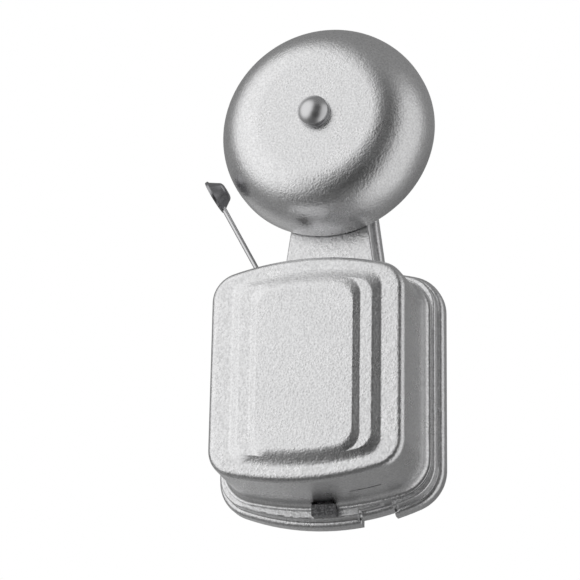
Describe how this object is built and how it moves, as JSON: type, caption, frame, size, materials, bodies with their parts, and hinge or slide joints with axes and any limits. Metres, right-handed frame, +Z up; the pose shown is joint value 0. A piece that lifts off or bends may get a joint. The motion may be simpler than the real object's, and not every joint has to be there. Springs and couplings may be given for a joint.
{
  "type": "electric bell",
  "caption": "Wall-mounted electric trembler bell: a domed steel gong on a stamped neck above a box cover that hides the coils and the sprung armature of its side hammer.",
  "frame": {"origin": "midway between the two wall screw holes, in the plane of the wall", "axes": "+X to the right seen from the front, +Y into the wall, +Z up from the cover toward the gong"},
  "size_m": [0.0678, 0.032, 0.146],
  "materials": {
    "plated_steel": "fine satin nickel plate",
    "bright_steel": "polished plated steel",
    "dark_steel": "darkened, turned steel",
    "soft_iron": "zinc-plated soft iron",
    "spring_bronze": "rolled spring bronze",
    "brass": "turned brass",
    "contact_silver": "silver contact",
    "copper_winding": "enamelled copper wire",
    "black_moulding": "black moulded bakelite",
    "red_fibre": "vulcanised fibre",
    "catch_moulding": "pebbled black moulding",
    "black_rubber": "soft black rubber",
    "red_lead": "insulated wire"
  },
  "bodies": {
    "base": {"back_pan": "plated_steel", "gong_post": "bright_steel", "gong_seat_washer": "red_fibre", "gong": "plated_steel", "gong_nut_washer": "bright_steel", "gong_nut": "bright_steel", "magnet_frame": "soft_iron", "frame_rivets": "bright_steel", "core_upper": "soft_iron", "core_lower": "soft_iron", "bobbin_upper": "black_moulding", "bobbin_lower": "black_moulding", "winding_upper": "copper_winding", "winding_lower": "copper_winding", "spring_clamp": "bright_steel", "clamp_screws": "bright_steel", "contact_pillar": "brass", "contact_insulator": "red_fibre", "pillar_bush": "red_fibre", "pillar_rivet": "brass", "contact_lock_nut": "brass", "terminal_block": "black_moulding", "terminal_plates": "brass", "terminal_screws": "brass", "block_rivet": "brass", "entry_grommet": "black_rubber", "catch_pin": "bright_steel", "lead_coil_link": "red_lead", "lead_coil_feed": "red_lead", "lead_coil_to_contact": "red_lead", "lead_frame_to_terminal": "red_lead"},
    "hammer_arm": {"armature": "soft_iron", "armature_spring": "spring_bronze", "spring_rivets": "brass", "contact_spring": "spring_bronze", "contact_button": "contact_silver", "hammer_rod": "bright_steel", "hammer_head": "dark_steel"},
    "contact_screw": {"contact_screw": "brass"},
    "cover": {"cover": "plated_steel"},
    "catch": {"cover_catch": "catch_moulding"}
  },
  "joints": [
    {"name": "armature_swing", "type": "hinge", "parent": "base", "child": "hammer_arm", "pos_m": [-0.01315, -0.0175, -0.0215], "axis": [0, 1, 0], "range_deg": [0, 1.2], "stiffness_Nm_per_rad": 0.3, "springref_deg": -1.15, "deforming": ["armature_spring"]},
    {"name": "contact_screw_turn", "type": "hinge", "parent": "base", "child": "contact_screw", "pos_m": [-0.019, -0.0175, 0.006], "axis": [1, 0, 0], "range_deg": [-180, 180]},
    {"name": "cover_lift", "type": "slide", "parent": "base", "child": "cover", "axis": [0, -1, 0], "range_m": [0, 0.04]},
    {"name": "catch_slide", "type": "slide", "parent": "base", "child": "catch", "axis": [0, 0, -1], "range_m": [0, 0.0012]}
  ]
}
